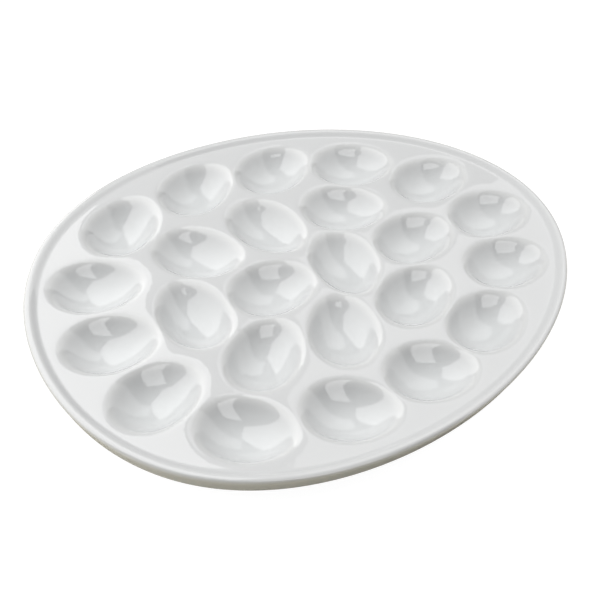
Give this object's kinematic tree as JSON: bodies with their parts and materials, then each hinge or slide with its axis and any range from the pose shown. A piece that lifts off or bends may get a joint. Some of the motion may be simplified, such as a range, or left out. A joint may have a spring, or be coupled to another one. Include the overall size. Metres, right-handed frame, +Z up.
{
  "type": "egg platter",
  "caption": "Egg-shaped white porcelain platter with egg-shaped wells for halved eggs, a raised lip, a tapered skirt and a bare foot ring.",
  "frame": {"origin": "on the table, under the middle of the platter's bounding box", "axes": "+X along the long axis to the narrow end, +Y across it, +Z up"},
  "size_m": [0.356, 0.2844, 0.0265],
  "materials": {
    "glaze": "clear gloss glaze over white porcelain",
    "bare_porcelain": "unglazed, ground flat"
  },
  "bodies": {
    "root": {"tray_body": "glaze", "foot_ring": "bare_porcelain"}
  },
  "joints": []
}
